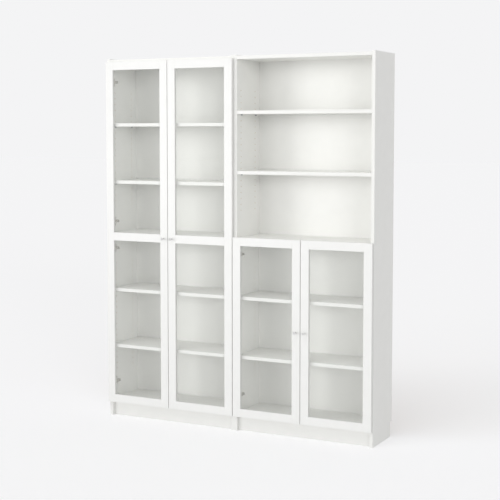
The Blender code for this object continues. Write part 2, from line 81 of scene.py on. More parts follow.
def quads(rows, columns):
    """The faces of a grid of points that closes on itself along its columns, with outward normals when each row runs
    anticlockwise and the rows climb."""
    row, column = np.meshgrid(np.arange(rows - 1), np.arange(columns), indexing="ij")
    after = (column + 1) % columns
    a, b = row * columns + column, row * columns + after
    return np.stack([a, b, b + columns, a + columns], axis=-1).reshape(-1, 4)


def joined(parts):
    """Several (points, faces) shapes as one, with the face numbers moved up past the points before them."""
    points, faces, start = [], [], 0
    for shape_points, shape_faces in parts:
        points.append(shape_points)
        faces += [[int(i) + start for i in face] for face in shape_faces]
        start += len(shape_points)
    return np.concatenate(points), faces


def rounded_slab(low, high, radius):
    """A board with rounded edges. Two angles run over a ball of the edge's radius, and each octant of the ball is
    moved out by the board's half size less the radius: point = centre + octant * (half - radius) + radius * ball."""
    low, high = np.asarray(low, float), np.asarray(high, float)
    centre, half = (low + high) / 2, (high - low) / 2 - radius
    quarter = np.linspace(0.0, math.pi / 2, EDGE_STEPS + 1)
    turn = np.concatenate([quarter + math.pi / 2 * k for k in range(4)])
    tilt = np.concatenate([quarter - math.pi / 2, quarter])
    side_x = np.repeat([1, -1, -1, 1], EDGE_STEPS + 1)
    side_y = np.repeat([1, 1, -1, -1], EDGE_STEPS + 1)
    side_z = np.repeat([-1, 1], EDGE_STEPS + 1)
    shape = (len(tilt), len(turn))
    ball = np.stack([
        np.cos(tilt)[:, None] * np.cos(turn), np.cos(tilt)[:, None] * np.sin(turn),
        np.broadcast_to(np.sin(tilt)[:, None], shape),
    ], axis=-1)
    octant = np.stack([np.broadcast_to(side_x, shape), np.broadcast_to(side_y, shape),
                       np.broadcast_to(side_z[:, None], shape)], axis=-1)
    points = (centre + octant * half + radius * ball).reshape(-1, 3)
    faces = quads(*shape).tolist()
    ring = [k * (EDGE_STEPS + 1) for k in range(4)]
    last = (shape[0] - 1) * shape[1]
    return points, faces + [ring[::-1], [last + i for i in ring]]


def inset(outline, distance):
    """An anticlockwise outline moved inwards: each corner slides along the bisector of its two edges."""
    edge = np.roll(outline, -1, axis=0) - outline
    inward = np.stack([-edge[:, 1], edge[:, 0]], axis=1) / np.linalg.norm(edge, axis=1)[:, None]
    before = np.roll(inward, 1, axis=0)
    bisector = (inward + before) / (1.0 + (inward * before).sum(axis=1))[:, None]
    return outline + bisector * distance


def rounded_plate(outline, low, high, radius, order):
    """A plate cut to an anticlockwise outline, whose rims are quarter rounds: on the way up the outline first grows
    by radius * (1 - cos) while it climbs by radius * (1 - sin), then mirrors that at the top. The order says which
    axes the outline's two numbers and the height stand for."""
    angle = np.linspace(0.0, math.pi / 2, EDGE_STEPS + 1)
    shrink = radius * (1.0 - np.sin(angle))
    climb = radius * (1.0 - np.cos(angle))
    insets = np.concatenate([shrink, shrink[::-1]])
    heights = np.concatenate([low + climb, high - climb[::-1]])
    rows = np.stack([inset(np.asarray(outline, float), d) for d in insets])
    points = np.empty((*rows.shape[:2], 3))
    points[..., order[0]], points[..., order[1]] = rows[..., 0], rows[..., 1]
    points[..., order[2]] = heights[:, None]
    count, last = rows.shape[1], (len(insets) - 1) * rows.shape[1]
    faces = quads(len(insets), count).tolist()
    return points.reshape(-1, 3), faces + [list(range(count))[::-1], [last + i for i in range(count)]]


def turned(profile, count):
    """A profile of (radius, height) pairs carried round the Z axis: point = (r cos a, r sin a, h). A radius of zero
    is a pole, whose points are welded later."""
    profile = np.asarray(profile, float)
    angle = np.linspace(0.0, 2 * math.pi, count, endpoint=False)
    radius, height = profile[:, :1], profile[:, 1:]
    points = np.stack([radius * np.cos(angle), radius * np.sin(angle), height + 0.0 * angle], axis=-1)
    return points.reshape(-1, 3), quads(len(profile), count).tolist()


def slot_outline(width, length, steps=8):
    """A flat bar with round ends, about the origin, with its length along the second axis."""
    angle = np.linspace(0.0, math.pi, steps + 1)
    top = np.stack([np.cos(angle), np.sin(angle)], axis=1) * width / 2 + [0.0, (length - width) / 2]
    return np.concatenate([top, -top])


def upright_to_front(points):
    """Turns a shape made along Z so that its top points to the front: (x, y, z) becomes (x, -z, y)."""
    points = np.asarray(points)
    return np.stack([points[:, 0], -points[:, 2], points[:, 1]], axis=1)


# %% [markdown]
# ## From numbers to an object
#
# A mesh is welded, its normals are turned outwards once, and its shading is smooth only over the small rounds. The
# weighted normals keep the big flat faces flat, although they share their corners with the rounds.

# %% Meshes and pieces
WELD = 1e-6
SHARP = math.radians(35)


def new_object(name, points, faces):
    """An object at the origin whose mesh holds these points and faces."""
    mesh = bpy.data.meshes.new(name)
    mesh.from_pydata(np.asarray(points).tolist(), [], faces)
    body = bmesh.new()
    body.from_mesh(mesh)
    bmesh.ops.remove_doubles(body, verts=body.verts, dist=WELD)
    bmesh.ops.recalc_face_normals(body, faces=body.faces)
    body.to_mesh(mesh)
    body.free()
    obj = bpy.data.objects.new(name, mesh)
    bpy.context.scene.collection.objects.link(obj)
    return obj


def carve(obj, shape, operation="DIFFERENCE"):
    """Cuts a (points, faces) shape out of an object, or joins it on, and keeps only the result."""
    tool = new_object(obj.name + "_tool", *shape)
    step = obj.modifiers.new("carve", "BOOLEAN")
    step.operation, step.object, step.solver = operation, tool, "EXACT"
    bpy.context.view_layer.update()
    made = bpy.data.meshes.new_from_object(obj.evaluated_get(bpy.context.evaluated_depsgraph_get()))
    obj.modifiers.clear()
    obj.data = made
    bpy.data.objects.remove(tool, do_unlink=True)


def dress(obj, materials, body, slot, *nodes, choose=None):
    """Shades a piece, gives it its materials and ties it to its moving body. choose(normals, centres) gives each
    face the number of its material."""
    mesh = obj.data
    mesh.materials.clear()
    for material in materials:
        mesh.materials.append(material)
    if choose is not None:
        count = len(mesh.polygons)
        normal, centre = np.empty(count * 3), np.empty(count * 3)
        mesh.polygons.foreach_get("normal", normal)
        mesh.polygons.foreach_get("center", centre)
        chosen = choose(normal.reshape(-1, 3), centre.reshape(-1, 3)).astype(np.int32)
        mesh.polygons.foreach_set("material_index", chosen)
    mesh.shade_smooth()
    mesh.set_sharp_from_angle(angle=SHARP)
    flat = obj.modifiers.new("flat_faces", "WEIGHTED_NORMAL")
    flat.keep_sharp = True
    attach(obj, body)
    if nodes:
        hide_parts(*nodes)
    return obj


# %% [markdown]
# ## Materials
#
# Colours are picked as sRGB hex values and turned to the linear values that a shader wants. Patterns are measured in
# millimetres: a noise texture's scale is how many features fit in a metre, so 1.5 mm grit is 1000 / 1.5.

# %% Colours and nodes
def paint(code):
    """An sRGB hex colour as linear RGBA."""
    value = np.array([int(code[i:i + 2], 16) for i in (1, 3, 5)]) / 255
    linear = np.where(value <= 0.04045, value / 12.92, ((value + 0.055) / 1.055) ** 2.4)
    return (*linear.tolist(), 1.0)


def per_metre(millimetres):
    """The scale of a texture whose features are this large."""
    return 1.0 / (millimetres * MM)


def add(tree, kind, inputs=None, **settings):
    """Adds a node. An input given as a socket is linked, any other is a value."""
    node = tree.nodes.new(kind)
    for key, value in settings.items():
        setattr(node, key, value)
    for key, value in (inputs or {}).items():
        if isinstance(value, bpy.types.NodeSocket):
            tree.links.new(value, node.inputs[key])
        else:
            node.inputs[key].default_value = value
    return node


def blended(tree, share, first, second):
    """The colour between two others, by a share from 0 to 1."""
    return add(tree, "ShaderNodeMix", {0: share, 6: first, 7: second}, data_type="RGBA").outputs[2]


def spread(tree, value, low, high, start=0.3, end=0.7):
    """A texture's value spread over a range."""
    node = add(tree, "ShaderNodeMapRange", {0: value, 1: start, 2: end, 3: low, 4: high})
    return node.outputs[0]


def cloud(tree, size, stretch=(1.0, 1.0, 1.0), detail=2.0, roughness=0.5):
    """Noise whose features are size millimetres, drawn out along the axes where stretch is below 1."""
    place = add(tree, "ShaderNodeTexCoord").outputs["Object"]
    mapped = add(tree, "ShaderNodeMapping", {"Vector": place, "Scale": stretch})
    noise = add(tree, "ShaderNodeTexNoise", {
        "Vector": mapped.outputs[0], "Scale": per_metre(size), "Detail": detail, "Roughness": roughness,
    })
    return noise.outputs[0]


def new_material(name):
    """A material with its node tree and its Principled shader."""
    material = bpy.data.materials.new(name)
    material.use_nodes = True
    return material, material.node_tree, material.node_tree.nodes["Principled BSDF"]


def connect(tree, shader, **sockets):
    """Links or sets a shader's sockets, named with underscores for spaces."""
    for key, value in sockets.items():
        socket = shader.inputs[key.replace("_", " ")]
        if isinstance(value, bpy.types.NodeSocket):
            tree.links.new(value, socket)
        else:
            socket.default_value = value


# %% [markdown]
# ### White foil, edge band and lacquer
#
# The boards are particleboard wrapped in melamine foil: a satin white with the faintest orange peel, because the chips
# telegraph through the foil. The peel is really about 1 mm across and is drawn a little coarser so that it shows. The
# front edges carry a thin plastic band, smoother and streaked along its length; its greyer tone is partly the band's
# own and partly painted shade. The plinths are dressed with the same, and there its grey is painted shade from the
# doors above. The door frames are fibreboard under a smoother foil, and the back is lacquered.

# %% Whites
MOTTLE_SIZE = 60.0
PEEL_HEIGHT = 0.2 * MM
GLOSS_SWING = 0.05


def white_surface(name, light, shade, roughness, peel_size, peel, streak=(1.0, 1.0, 1.0)):
    """A satin white with soft mottling, uneven gloss and a fine peel."""
    material, tree, shader = new_material(name)
    mottle = cloud(tree, MOTTLE_SIZE, detail=3.0)
    grit = cloud(tree, peel_size, streak)
    colour = blended(tree, spread(tree, mottle, 0.0, 1.0), paint(light), paint(shade))
    bump = add(tree, "ShaderNodeBump", {"Height": grit, "Strength": peel, "Distance": PEEL_HEIGHT})
    connect(
        tree, shader, Base_Color=colour, Normal=bump.outputs[0], IOR=1.5,
        Roughness=spread(tree, grit, roughness - GLOSS_SWING, roughness + GLOSS_SWING),
    )
    return material


board_foil = white_surface("melamine_foil_white", "#F8F8F5", "#F6F6F3", 0.42, 1.5, 0.10)
# The band's greyer tone is partly its own colour and partly painted shade on the shelf edges, side edges and plinths.
edge_band_and_painted_shade = white_surface("edge_band_white", "#F1F1EE", "#EFEFEC", 0.34, 2.0, 0.05, (0.05, 0.05, 1.0))
door_foil = white_surface("door_foil_white", "#F2F2F0", "#F0F0EE", 0.36, 2.0, 0.06)
back_lacquer = white_surface("back_lacquer_white", "#F5F5F2", "#F3F3F0", 0.48, 2.5, 0.14, (1.0, 1.0, 0.4))

# %% [markdown]
# ### Raw board
#
# The rear edges and the feet of the sides show bare chipboard: flat chips of a few millimetres in two browns, pressed
# parallel to the faces. The rear of the back panel is bare hardboard, an even felted brown.

# %% Browns
CHIP_SIZE = 3.0
CHIP_STRETCH = (1.0, 0.7, 0.45)
FIBRE_SIZE = 2.0
FELT_SIZE = 45.0


def make_chipboard():
    """Chips as the cells of a Voronoi texture, each with its own brown, over a rough surface."""
    material, tree, shader = new_material("raw_chipboard")
    place = add(tree, "ShaderNodeTexCoord").outputs["Object"]
    mapped = add(tree, "ShaderNodeMapping", {"Vector": place, "Scale": CHIP_STRETCH})
    chips = add(tree, "ShaderNodeTexVoronoi", {"Vector": mapped.outputs[0], "Scale": per_metre(CHIP_SIZE)})
    tone = add(tree, "ShaderNodeSeparateColor", {0: chips.outputs["Color"]})
    colour = blended(tree, tone.outputs[0], paint("#D8BE93"), paint("#A98A60"))
    bump = add(tree, "ShaderNodeBump", {"Height": chips.outputs["Distance"], "Strength": 0.4, "Distance": 0.4 * MM})
    connect(tree, shader, Base_Color=colour, Roughness=0.85, Normal=bump.outputs[0])
    return material


def make_hardboard():
    """Felted fibres: a fine noise over a broad one, both in close browns."""
    material, tree, shader = new_material("raw_hardboard")
    broad = blended(tree, spread(tree, cloud(tree, FELT_SIZE), 0.0, 1.0), paint("#C0A37B"), paint("#BB9D75"))
    fine = cloud(tree, FIBRE_SIZE, (1.0, 1.0, 0.5), detail=4.0, roughness=0.65)
    colour = blended(tree, spread(tree, fine, 0.0, 0.35), broad, paint("#94744E"))
    bump = add(tree, "ShaderNodeBump", {"Height": fine, "Strength": 0.25, "Distance": 0.3 * MM})
    connect(tree, shader, Base_Color=colour, Roughness=0.8, Normal=bump.outputs[0])
    return material


chipboard = make_chipboard()
hardboard = make_hardboard()

# %% [markdown]
# ### Metals and glass
#
# The hinges are pressed steel with a nickel plate: warm, bright and nearly smooth. The knobs are turned aluminium with
# a satin coat and fine lines, and the shelf pins and nails have a greyer zinc plate. The panes are clear float glass:
# it bends light by an index of 1.5 and mirrors a little. Light from the lamps passes it as if no glass were there,
# because tracing it through bent glass would leave the cabinets dark and grainy.

# %% Metals
TOOL_MARK = 0.05 * MM


def make_metal(name, light, shade, roughness, line_size, stretch, relief):
    """A plated or turned metal with lines left by the tool."""
    material, tree, shader = new_material(name)
    lines = cloud(tree, line_size, stretch, detail=3.0)
    colour = blended(tree, spread(tree, lines, 0.0, 1.0), paint(light), paint(shade))
    bump = add(tree, "ShaderNodeBump", {"Height": lines, "Strength": relief, "Distance": TOOL_MARK})
    connect(
        tree, shader, Base_Color=colour, Metallic=1.0, Normal=bump.outputs[0],
        Roughness=spread(tree, lines, roughness - GLOSS_SWING, roughness + GLOSS_SWING),
    )
    return material


nickel = make_metal("nickel_plated_steel", "#D5D3CF", "#CBC9C5", 0.24, 6.0, (1.0, 1.0, 1.0), 0.03)
knob_metal = make_metal("satin_aluminium", "#E3E3E2", "#D8D8D7", 0.42, 0.5, (1.0, 0.2, 1.0), 0.1)
zinc = make_metal("zinc_plated_steel", "#B9BCC0", "#9EA1A5", 0.34, 0.7, (1.0, 1.0, 0.2), 0.1)


# %% Glass
GLASS_TINT = "#FDFEFD"
GLASS_WAVE = 400.0


def make_glass():
    """Clear glass for sight and for mirrors, and nothing at all for rays that carry light to the shelves."""
    material, tree, shader = new_material("clear_float_glass")
    wave = add(tree, "ShaderNodeBump", {"Height": cloud(tree, GLASS_WAVE), "Strength": 0.02, "Distance": 1.0 * MM})
    connect(
        tree, shader, Base_Color=paint(GLASS_TINT), Roughness=0.0, IOR=1.5, Transmission_Weight=1.0,
        Normal=wave.outputs[0],
    )
    path = add(tree, "ShaderNodeLightPath")
    carries_light = add(
        tree, "ShaderNodeMath", {0: path.outputs["Is Shadow Ray"], 1: path.outputs["Is Diffuse Ray"]},
        operation="MAXIMUM",
    )
    clear = add(tree, "ShaderNodeBsdfTransparent")
    both = add(tree, "ShaderNodeMixShader", {0: carries_light.outputs[0], 1: shader.outputs[0], 2: clear.outputs[0]})
    tree.links.new(both.outputs[0], tree.nodes["Material Output"].inputs["Surface"])
    return material


glass = make_glass()

# %% [markdown]
# ## The carcass
#
# A shelf is a foil-wrapped board with its front edge banded. The band is a strip of its own, half a millimetre thick,
# so that the fine joint between board and band is real and both parts have their own rounds.

# %% Boards with a banded front edge
BAND = 0.6 * MM
BAND_GAP = 0.05 * MM
FOIL_ROUND = 0.4 * MM


def banded_board(node, body="carcass"):
    """A board with its band along the front edge, in the place of a plain one."""
    low, high = corners(node)
    front = low[1]
    core = rounded_slab((low[0], front + BAND + BAND_GAP, low[2]), high, FOIL_ROUND / 2)
    strip = rounded_slab(low, (high[0], front + BAND, high[2]), BAND / 2 - BAND_GAP)
    obj = new_object(node + "_banded", *joined([core, strip]))
    return dress(
        obj, [board_foil, edge_band_and_painted_shade], body, "white_foil", node,
        choose=lambda normal, centre: centre[:, 1] < front + BAND + BAND_GAP / 2,
    )


BOARDS = ("bottom_panel", "fixed_shelf", "top_panel", "shelf_1", "shelf_2", "shelf_3", "shelf_4")
for side in ("left", "right"):
    for board in BOARDS:
        banded_board("%s_cabinet_%s" % (side, board))
    # The plinth takes the greyer band material: its grey is painted shade for the shadow under the doors and bottom
    # board.
    low, high = corners(side + "_cabinet_plinth")
    plinth = new_object(side + "_cabinet_plinth_board", *rounded_slab(low, high, FOIL_ROUND))
    dress(plinth, [edge_band_and_painted_shade], "carcass", "white_foil", side + "_cabinet_plinth")
print("made", 2 * len(BOARDS), "banded boards")

# %% [markdown]
# ## The sides
#
# A side is a plate cut to an outline with a notch for the room's skirting. Two columns of 5 mm holes are drilled into
# its inner face every 32 mm. They are cut for real, because a painted dot has no depth when light falls across it.
# Whatever was cut after the foil went on shows the bare board: the holes, the groove, the notch and the rear edge.

# %% Sides with holes, groove and notch
BOARD = 18 * MM
NOTCH_DEPTH = 22 * MM
NOTCH_HEIGHT = 82 * MM
HOLE = 5 * MM
HOLE_DEPTH = 10 * MM
ROW_PITCH = 32 * MM
COLUMN_INSET = 50 * MM
LAST_ROW_CLEARANCE = 160 * MM
FIRST_ROW = {"lower": 163.7 * MM, "upper": 142.7 * MM}
BACK_GROOVE = 6 * MM
GROOVE_PLAY = 0.3 * MM
SIDE_ROUND = 0.6 * MM
HOLE_SIDES = 20


def pin_rows(side):
    """Heights of the rows of holes, which climb by the pitch in the lower and in the upper compartment."""
    bottom = corners(side + "_cabinet_bottom_panel")[1][2]
    middle_low, middle_high = (corner[2] for corner in corners(side + "_cabinet_fixed_shelf"))
    top = corners(side + "_cabinet_top_panel")[0][2]
    rows = []
    for floor, ceiling, first in ((bottom, middle_low, FIRST_ROW["lower"]), (middle_high, top, FIRST_ROW["upper"])):
        room = ceiling - LAST_ROW_CLEARANCE - floor - first
        rows.append(floor + first + ROW_PITCH * np.arange(int(room / ROW_PITCH) + 1))
    return np.concatenate(rows)


def pin_columns(side):
    """Distances along Y of the two columns of holes."""
    front = corners(side + "_cabinet_left_side")[0][1]
    back = corners(side + "_cabinet_back_panel")[0][1]
    return front + COLUMN_INSET, back - COLUMN_INSET


def across(shape, inner_x, hand, y, z):
    """Lays a shape made along Z on a side's inner face, with its top pointing into the cabinet."""
    points, faces = shape
    points = np.asarray(points)
    laid = np.stack([inner_x + hand * points[:, 2], y + points[:, 0], z + hand * points[:, 1]], axis=1)
    return laid, faces


def make_side(side, word):
    """One side board with its notch, groove and holes."""
    node = "%s_cabinet_%s_side" % (side, word)
    hand = 1 if word == "left" else -1
    low, high = corners(node)
    outer_x = low[0] if hand > 0 else high[0]
    inner_x = outer_x + hand * BOARD
    notch_y, notch_z = high[1] - NOTCH_DEPTH, low[2] + NOTCH_HEIGHT
    outline = [(low[1], low[2]), (notch_y, low[2]), (notch_y, notch_z), (high[1], notch_z), (high[1], high[2]),
               (low[1], high[2])]
    obj = new_object(node + "_board", *rounded_plate(
        outline, min(outer_x, inner_x), max(outer_x, inner_x), SIDE_ROUND, (1, 2, 0)))
    back_low, back_high = corners(side + "_cabinet_back_panel")
    groove = [
        (inner_x - hand * BACK_GROOVE, back_low[1] - GROOVE_PLAY, back_low[2] - BOARD),
        (inner_x + hand * BACK_GROOVE, back_high[1] + GROOVE_PLAY, back_high[2] + GROOVE_PLAY),
    ]
    tools = [rounded_slab(np.min(groove, axis=0), np.max(groove, axis=0), GROOVE_PLAY)]
    hole = turned([(0.0, -HOLE_DEPTH), (HOLE / 2, -HOLE_DEPTH), (HOLE / 2, HOLE_DEPTH), (0.0, HOLE_DEPTH)], HOLE_SIDES)
    for z in pin_rows(side):
        for y in pin_columns(side):
            tools.append(across(hole, inner_x, hand, y, z))
    carve(obj, joined(tools))

    def finish_of(normal, centre):
        front = centre[:, 1] < low[1] + MM
        wrapped = np.minimum(abs(centre[:, 0] - inner_x), abs(centre[:, 0] - outer_x)) < MM
        cut = ~wrapped & ~front & (centre[:, 2] < high[2] - MM)
        return np.where(cut, 2, np.where(front & (normal[:, 1] < -0.7), 1, 0))

    return dress(obj, [board_foil, edge_band_and_painted_shade, chipboard], "carcass", "white_foil", node, choose=finish_of)


for side in ("left", "right"):
    for word in ("left", "right"):
        made = make_side(side, word)
        print(made.name, "has", len(made.data.polygons), "faces")

# %% [markdown]
# ## Shelf pins
#
# A shelf lies on four plated pins: a 5 mm shank in the hole and a thicker, round-nosed head on which the shelf rests.
# It is a lathe shape, and a formula for its radius along the shank makes it.

# %% Pins
PIN_HEAD = 6 * MM
PIN_REACH = 9 * MM
PIN_SIDES = 24


def pin_profile():
    """Radius along a pin, from the shank's end in the hole to the head's round tip."""
    shank, head = HOLE / 2 - HAIR, PIN_HEAD / 2
    tip = np.linspace(0.0, math.pi / 2, 5)
    nose = np.stack([head - MM + MM * np.cos(tip), PIN_REACH - MM + MM * np.sin(tip)], axis=1)
    start = [(0.0, -HOLE_DEPTH + MM), (shank - 0.4 * MM, -HOLE_DEPTH + MM), (shank, -HOLE_DEPTH + 1.6 * MM),
             (shank, HAIR), (head, HAIR), (head, 1.2 * MM)]
    return np.concatenate([start, nose, [(0.0, PIN_REACH)]])


def shelf_undersides(side):
    """The undersides of a cabinet's four loose shelves."""
    return [corners("%s_cabinet_shelf_%d" % (side, number))[0][2] for number in range(1, 5)]


for side in ("left", "right"):
    for word in ("left", "right"):
        hand = 1 if word == "left" else -1
        low, high = corners("%s_cabinet_%s_side" % (side, word))
        inner_x = (low[0] if hand > 0 else high[0]) + hand * BOARD
        pin = turned(pin_profile(), PIN_SIDES)
        pins = [
            across(pin, inner_x, hand, y, z - PIN_HEAD / 2 - GROOVE_PLAY)
            for z in shelf_undersides(side) for y in pin_columns(side)
        ]
        obj = new_object("%s_cabinet_%s_pins" % (side, word), *joined(pins))
        dress(obj, [zinc], "carcass", "steel", "%s_cabinet_%s_side" % (side, word))

# %% [markdown]
# ## The backs
#
# The back is 3 mm hardboard, lacquered on the side that shows between the shelves and bare behind. It slides in
# grooves, and small nails hold it to the rear edges of the bottom, the fixed shelf and the top.

# %% Backs and their nails
NAIL_HEAD = 4.5 * MM
NAIL_SHANK = 1.0 * MM
NAIL_CROWN = 0.5 * MM
NAIL_SPACING = 120 * MM
NAIL_SIDES = 16

for side in ("left", "right"):
    node = side + "_cabinet_back_panel"
    low, high = corners(node)
    obj = new_object(node + "_sheet", *rounded_slab(low, high, FOIL_ROUND / 2))
    dress(obj, [back_lacquer, hardboard], "carcass", "back_board", node,
          choose=lambda normal, centre: normal[:, 1] > 0.7)
    points, faces = turned([
        (0.0, -NAIL_SHANK), (NAIL_HEAD / 4, -NAIL_SHANK), (NAIL_HEAD / 2, 0.0), (NAIL_HEAD / 2, NAIL_CROWN / 2),
        (NAIL_HEAD / 4, NAIL_CROWN * 0.9), (0.0, NAIL_CROWN)], NAIL_SIDES)
    nail = np.stack([-points[:, 0], points[:, 2], points[:, 1]], axis=1)
    count = int((high[0] - low[0]) / NAIL_SPACING)
    nails = []
    for board in ("bottom_panel", "fixed_shelf", "top_panel"):
        board_low, board_high = corners("%s_cabinet_%s" % (side, board))
        for x in np.linspace(board_low[0] + NAIL_SPACING / 2, board_high[0] - NAIL_SPACING / 2, count):
            nails.append((nail + (x, high[1], (board_low[2] + board_high[2]) / 2), faces))
    nail_set = new_object(side + "_cabinet_back_nails", *joined(nails))
    dress(nail_set, [zinc], "carcass", "steel")

# %% [markdown]
# ## The doors
#
# A door is two full-height stiles with rails glued between them. The panes stand in a groove round each window. The
# members are separate rounded slabs, so the glued joints show as hairlines, and the groove, the hinge bores and the
# knob's hole are cut into them afterwards, in the order that a joiner's machine would cut them.

# %% Door frames
STILE = 46 * MM
PANE_HOLD = 4.7 * MM
DOOR_THICKNESS = 18 * MM
DOOR_ROUND = 0.8 * MM
JOINT = 0.05 * MM
CUP = 35 * MM
CUP_BORE_DEPTH = 12 * MM
CUP_EDGE_DISTANCE = 4 * MM
CUP_BORE_SIDES = 48
KNOB_HOLE = 4.6 * MM
KNOB_HOLE_DEPTH = 12 * MM

DOORS = {
    "tall_left": ("lower_glass", "upper_glass"), "tall_right": ("lower_glass", "upper_glass"),
    "low_left": ("glass",), "low_right": ("glass",),
}


def hand_of(door):
    """1 for a door hung on its left edge, -1 for one hung on its right edge."""
    return 1 if door.endswith("left") else -1


def hinge_heights(door):
    """The heights of a door's hinges, from the arms of the plain model."""
    count = 4 if door.startswith("tall") else 2
    boxes = [corners("%s_hinge_arm_%d" % (door, number)) for number in range(1, count + 1)]
    return [(low[2] + high[2]) / 2 for low, high in boxes]


def door_place(door):
    """A door's lowest and highest corner without its cups, and the plan place of the cups' centre."""
    low, high = corners(door + "_door_frame")
    high = np.array([high[0], low[1] + DOOR_THICKNESS, high[2]])
    hung = low[0] if hand_of(door) > 0 else high[0]
    return low, high, hung + hand_of(door) * (CUP_EDGE_DISTANCE + CUP / 2)


def make_frame(door):
    """The frame of one door."""
    low, high, cup_x = door_place(door)
    windows = []
    for pane in DOORS[door]:
        pane_low, pane_high = corners("%s_door_%s" % (door, pane))
        windows.append((pane_low[2] + PANE_HOLD, pane_high[2] - PANE_HOLD))
    rails = [low[2]] + [z for window in windows for z in window] + [high[2]]
    members = [
        rounded_slab(low, (low[0] + STILE - JOINT, high[1], high[2]), DOOR_ROUND),
        rounded_slab((high[0] - STILE + JOINT, low[1], low[2]), high, DOOR_ROUND),
    ]
    for bottom, top in zip(rails[::2], rails[1::2]):
        members.append(rounded_slab((low[0] + STILE, low[1], bottom), (high[0] - STILE, high[1], top), DOOR_ROUND))
    obj = new_object(door + "_door_members", *joined(members))

    tools = []
    for pane in DOORS[door]:
        pane_low, pane_high = corners("%s_door_%s" % (door, pane))
        tools.append(rounded_slab(pane_low - GROOVE_PLAY, pane_high + GROOVE_PLAY, GROOVE_PLAY / 2))
    bore = turned([(0.0, -MM), (CUP / 2, -MM), (CUP / 2, CUP_BORE_DEPTH), (0.0, CUP_BORE_DEPTH)], CUP_BORE_SIDES)
    for z in hinge_heights(door):
        tools.append((upright_to_front(bore[0]) + (cup_x, high[1], z), bore[1]))
    knob_low, knob_high = corners(door + "_door_knob")
    knob = (knob_low + knob_high) / 2
    radius, depth = KNOB_HOLE / 2, KNOB_HOLE_DEPTH
    hole = turned([(0.0, -depth), (radius, -depth), (radius, MM), (0.0, MM)], HOLE_SIDES)
    tools.append((upright_to_front(hole[0]) + (knob[0], low[1], knob[2]), hole[1]))
    carve(obj, joined(tools))
    return dress(obj, [door_foil], door + "_door", "door_foil", door + "_door_frame")


for door in DOORS:
    made = make_frame(door)
    print(made.name, "has", len(made.data.polygons), "faces")

# %% [markdown]
# ## Panes
#
# Float glass 4 mm thick with ground edges. Both faces are modelled, so that the pane mirrors the room twice, once from
# each face, as real glass does.

# %% Panes
GROUND_EDGE = 0.5 * MM

for door, panes in DOORS.items():
    for pane in panes:
        node = "%s_door_%s" % (door, pane)
        obj = new_object(node + "_pane", *rounded_slab(*corners(node), GROUND_EDGE))
        dress(obj, [glass], door + "_door", "glass", node)

# %% [markdown]
# ## Knobs
#
# A small turned knob: a foot that flares against the door, a narrow neck for the fingertips, and a head that swells
# to a rolled edge and a shallow crown.

# %% Knobs
KNOB_SIDES = 64
KNOB_NECK = 8 * MM
KNOB_FOOT = 10 * MM
KNOB_STUD = 4 * MM
KNOB_HEAD = 10 * MM
KNOB_SWELL = 4.5 * MM
KNOB_FLARE = 3 * MM
KNOB_ROLL = 1.6 * MM
KNOB_CROWN = 0.9 * MM


def knob_profile(reach, radius, stud):
    """Radius against distance from the door, from the end of the stud to the middle of the crown."""
    neck, foot = KNOB_NECK / 2, KNOB_FOOT / 2
    under = reach - KNOB_HEAD
    edge = reach - KNOB_CROWN - KNOB_ROLL
    waist = np.linspace(0.0, math.pi / 2, 9)
    flare = np.stack([neck + (foot - neck) * (1 - np.sin(waist)),
                      0.8 * MM + KNOB_FLARE * (1 - np.cos(waist))], axis=1)
    swell = np.linspace(0.0, math.pi / 2, 13)
    back = np.stack([radius + (neck - radius) * np.cos(swell), under + KNOB_SWELL * np.sin(swell) ** 2], axis=1)
    roll = np.linspace(0.0, math.pi / 2, 9)
    rim = np.stack([radius - KNOB_ROLL * (1 - np.cos(roll)), edge + KNOB_ROLL * np.sin(roll)], axis=1)
    share = np.linspace(1.0, 0.0, 7)[1:]
    crown = np.stack([(radius - KNOB_ROLL) * share, reach - KNOB_CROWN * share ** 2], axis=1)
    start = [(0.0, -stud), (KNOB_STUD / 2 - 0.4 * MM, -stud), (KNOB_STUD / 2, 0.4 * MM - stud),
             (KNOB_STUD / 2, HAIR), (foot - 0.3 * MM, HAIR), (foot, 0.4 * MM)]
    return np.concatenate([start, flare, back, rim, crown])


for door in DOORS:
    low, high = corners(door + "_door_knob")
    front = door_place(door)[0][1]
    shape = turned(knob_profile(front - low[1], (high[0] - low[0]) / 2, high[1] - front), KNOB_SIDES)
    centre = ((low[0] + high[0]) / 2, front, (low[2] + high[2]) / 2)
    obj = new_object(door + "_door_knob_turned", upright_to_front(shape[0]) + centre, shape[1])
    dress(obj, [knob_metal], door + "_door", "knob_metal", door + "_door_knob")

# %% [markdown]
# ## Hinge cups
#
# Each hinge has a steel cup pressed into a 35 mm bore, with a flange on the door's back and an ear at either end for a
# screw. The cup is a lathe shape with a wall of its own, so it is open where the link swings in.

# %% Cups, ears and their screws
CUP_WALL = 1.0 * MM
CUP_DEPTH = 11.5 * MM
FLANGE = 1.5 * MM
FLANGE_THICKNESS = 0.95 * MM
EAR_OFFSET = 9.5 * MM
EAR_WIDTH = 12 * MM
EAR_LENGTH = 57 * MM
EAR_THICKNESS = 0.7 * MM
EAR_PLAY = 0.7 * MM
EAR_SCREW_SPACING = 45 * MM
CUP_FLOOR_ROUND = 2.0 * MM
CUP_SIDES = 64
CUP_PIN = 2.2 * MM
CUP_PIN_DEPTH = 4 * MM
CUP_PIN_INSET = 4 * MM
EAR_SCREW = {"diameter": 7 * MM, "height": 1.6 * MM, "recess": 1.0 * MM}


